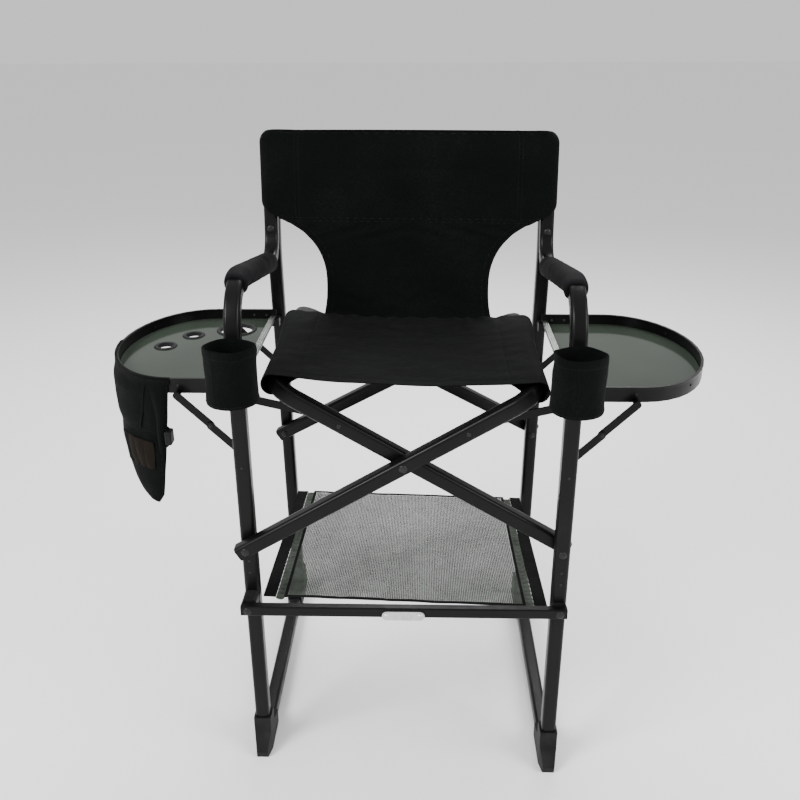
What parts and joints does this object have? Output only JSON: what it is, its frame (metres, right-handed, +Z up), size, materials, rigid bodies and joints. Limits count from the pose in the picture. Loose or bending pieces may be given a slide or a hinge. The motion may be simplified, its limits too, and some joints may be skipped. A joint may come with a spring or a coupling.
{
  "type": "director chair",
  "caption": "Tall folding director chair with a sling seat and back, foam arms, crossed tubes, fold-down side tables, cup holders, footrest and mesh tray.",
  "frame": {"origin": "on the floor, under the middle of the opened chair's bounding box", "axes": "+Z up, +Y from the footrest to the back, +X from the table with the ringed holes to the plain table"},
  "size_m": [1.0214, 0.6434, 1.059],
  "materials": {
    "tube_paint": "satin black powder coat",
    "dark_steel": "blackened steel fasteners",
    "link_steel": "satin zinc plated",
    "aluminium": "satin, grooved extrusion",
    "plastic": "fine moulded grain",
    "foam": "closed cell foam",
    "table_top": "glossy dark plastic",
    "fabric": "black oxford weave with stitched hems",
    "mesh": "open woven mesh"
  },
  "bodies": {
    "frame_left": {"arm_tube_left": "tube_paint", "rear_leg_left": "tube_paint", "front_foot_left": "plastic", "rear_foot_left": "plastic", "arm_grip_left": "foam", "cup_holder_left": "fabric", "post_bolt_left": "dark_steel", "pivot_bolt_front_left": "dark_steel", "pivot_bolt_rear_left": "dark_steel", "hinge_bolt_front_left": "dark_steel", "hinge_bolt_rear_left": "dark_steel", "footrest_bracket_left": "plastic", "backrest_fabric": "fabric", "mesh_tray": "mesh"},
    "frame_right": {"arm_tube_right": "tube_paint", "rear_leg_right": "tube_paint", "front_foot_right": "plastic", "rear_foot_right": "plastic", "arm_grip_right": "foam", "cup_holder_right": "fabric", "post_bolt_right": "dark_steel", "pivot_bolt_front_right": "dark_steel", "pivot_bolt_rear_right": "dark_steel", "hinge_bolt_front_right": "dark_steel", "hinge_bolt_rear_right": "dark_steel", "footrest_bracket_right": "plastic"},
    "x_frame_a": {"cross_tube_a": "tube_paint", "cross_bolt_front": "dark_steel", "cross_bolt_rear": "dark_steel"},
    "x_frame_b": {"cross_tube_b": "tube_paint"},
    "seat": {"seat_fabric": "fabric"},
    "strut_left": {"strut_left": "tube_paint"},
    "strut_right": {"strut_right": "tube_paint"},
    "footrest_left": {"footrest_bar_left": "tube_paint", "footrest_rivet_left": "dark_steel", "link_pin_left": "link_steel"},
    "footrest_link": {"footrest_link": "link_steel"},
    "footrest_right": {"footrest_bar_right": "tube_paint", "footrest_rivet_right": "dark_steel", "link_pin_right": "link_steel"},
    "table_left": {"table_rim_left": "tube_paint", "table_panel_left": "table_top", "table_rail_left": "aluminium", "grommet_1": "plastic", "grommet_2": "plastic", "grommet_3": "plastic", "table_pouch": "fabric"},
    "table_right": {"table_rim_right": "tube_paint", "table_panel_right": "table_top", "table_rail_right": "aluminium"},
    "brace_lower_left": {"brace_lower_front_left": "tube_paint", "brace_lower_rear_left": "tube_paint"},
    "brace_upper_left": {"brace_upper_front_left": "tube_paint", "brace_upper_rear_left": "tube_paint"},
    "brace_lower_right": {"brace_lower_front_right": "tube_paint", "brace_lower_rear_right": "tube_paint"},
    "brace_upper_right": {"brace_upper_front_right": "tube_paint", "brace_upper_rear_right": "tube_paint"}
  },
  "joints": [
    {"name": "chair_fold", "type": "hinge", "parent": "frame_left", "child": "x_frame_a", "pos_m": [-0.26, -0.196, 0.444], "axis": [0, -1, 0], "range_deg": [0, 45.4], "deforming": ["seat_fabric", "backrest_fabric", "mesh_tray"]},
    {"name": "crossing_pivot", "type": "hinge", "parent": "x_frame_a", "child": "x_frame_b", "pos_m": [0, -0.196, 0.6], "axis": [0, -1, 0], "range_deg": [-95, 0]},
    {"name": "right_leg_pivot", "type": "hinge", "parent": "x_frame_b", "child": "frame_right", "pos_m": [0.26, -0.196, 0.444], "axis": [0, -1, 0], "range_deg": [0, 48]},
    {"name": "seat_level", "type": "hinge", "parent": "x_frame_a", "child": "seat", "pos_m": [0.207, -0.2224, 0.7242], "axis": [0, -1, 0], "range_deg": [-48, 0]},
    {"name": "strut_left_pivot", "type": "hinge", "parent": "frame_left", "child": "strut_left", "pos_m": [-0.26, -0.196, 0.6985], "axis": [0, -1, 0], "range_deg": [0, 90.5]},
    {"name": "strut_right_pivot", "type": "hinge", "parent": "frame_right", "child": "strut_right", "pos_m": [0.26, -0.196, 0.6985], "axis": [0, 1, 0], "range_deg": [0, 90.5]},
    {"name": "footrest_left_pivot", "type": "hinge", "parent": "frame_left", "child": "footrest_left", "pos_m": [-0.26, -0.246, 0.34], "axis": [0, -1, 0], "range_deg": [0, 83.5]},
    {"name": "footrest_link_pivot", "type": "hinge", "parent": "footrest_left", "child": "footrest_link", "pos_m": [-0.028, -0.246, 0.336], "axis": [0, -1, 0], "range_deg": [-83.5, 0]},
    {"name": "footrest_right_pivot", "type": "hinge", "parent": "footrest_link", "child": "footrest_right", "pos_m": [0.028, -0.246, 0.336], "axis": [0, -1, 0], "range_deg": [-83.5, 0]},
    {"name": "table_left_fold", "type": "hinge", "parent": "frame_left", "child": "table_left", "pos_m": [-0.26, 0.024, 0.6985], "axis": [0, -1, 0], "range_deg": [0, 90], "deforming": ["table_pouch"]},
    {"name": "brace_lower_left_pivot", "type": "hinge", "parent": "frame_left", "child": "brace_lower_left", "pos_m": [-0.26, 0.024, 0.5965], "axis": [0, -1, 0], "range_deg": [-46, 0]},
    {"name": "brace_upper_left_pivot", "type": "hinge", "parent": "table_left", "child": "brace_upper_left", "pos_m": [-0.362, 0.024, 0.6985], "axis": [0, -1, 0], "range_deg": [0, 46]},
    {"name": "table_right_fold", "type": "hinge", "parent": "frame_right", "child": "table_right", "pos_m": [0.26, 0.024, 0.6985], "axis": [0, 1, 0], "range_deg": [0, 90]},
    {"name": "brace_lower_right_pivot", "type": "hinge", "parent": "frame_right", "child": "brace_lower_right", "pos_m": [0.26, 0.024, 0.5965], "axis": [0, 1, 0], "range_deg": [-46, 0]},
    {"name": "brace_upper_right_pivot", "type": "hinge", "parent": "table_right", "child": "brace_upper_right", "pos_m": [0.362, 0.024, 0.6985], "axis": [0, 1, 0], "range_deg": [0, 46]}
  ],
  "couplings": [
    {"joint": "crossing_pivot", "follows": "chair_fold", "ratio": -2},
    {"joint": "right_leg_pivot", "follows": "chair_fold", "ratio": 1},
    {"joint": "seat_level", "follows": "chair_fold", "ratio": -1},
    {"joint": "strut_left_pivot", "follows": "chair_fold", "ratio": 1.931},
    {"joint": "strut_right_pivot", "follows": "chair_fold", "ratio": 1.931},
    {"joint": "footrest_left_pivot", "follows": "chair_fold", "ratio": 1.7664},
    {"joint": "footrest_link_pivot", "follows": "chair_fold", "ratio": -1.7664},
    {"joint": "footrest_right_pivot", "follows": "chair_fold", "ratio": -1.7664},
    {"joint": "brace_lower_left_pivot", "follows": "table_left_fold", "ratio": -0.5},
    {"joint": "brace_upper_left_pivot", "follows": "table_left_fold", "ratio": 0.5},
    {"joint": "brace_lower_right_pivot", "follows": "table_right_fold", "ratio": -0.5},
    {"joint": "brace_upper_right_pivot", "follows": "table_right_fold", "ratio": 0.5}
  ]
}
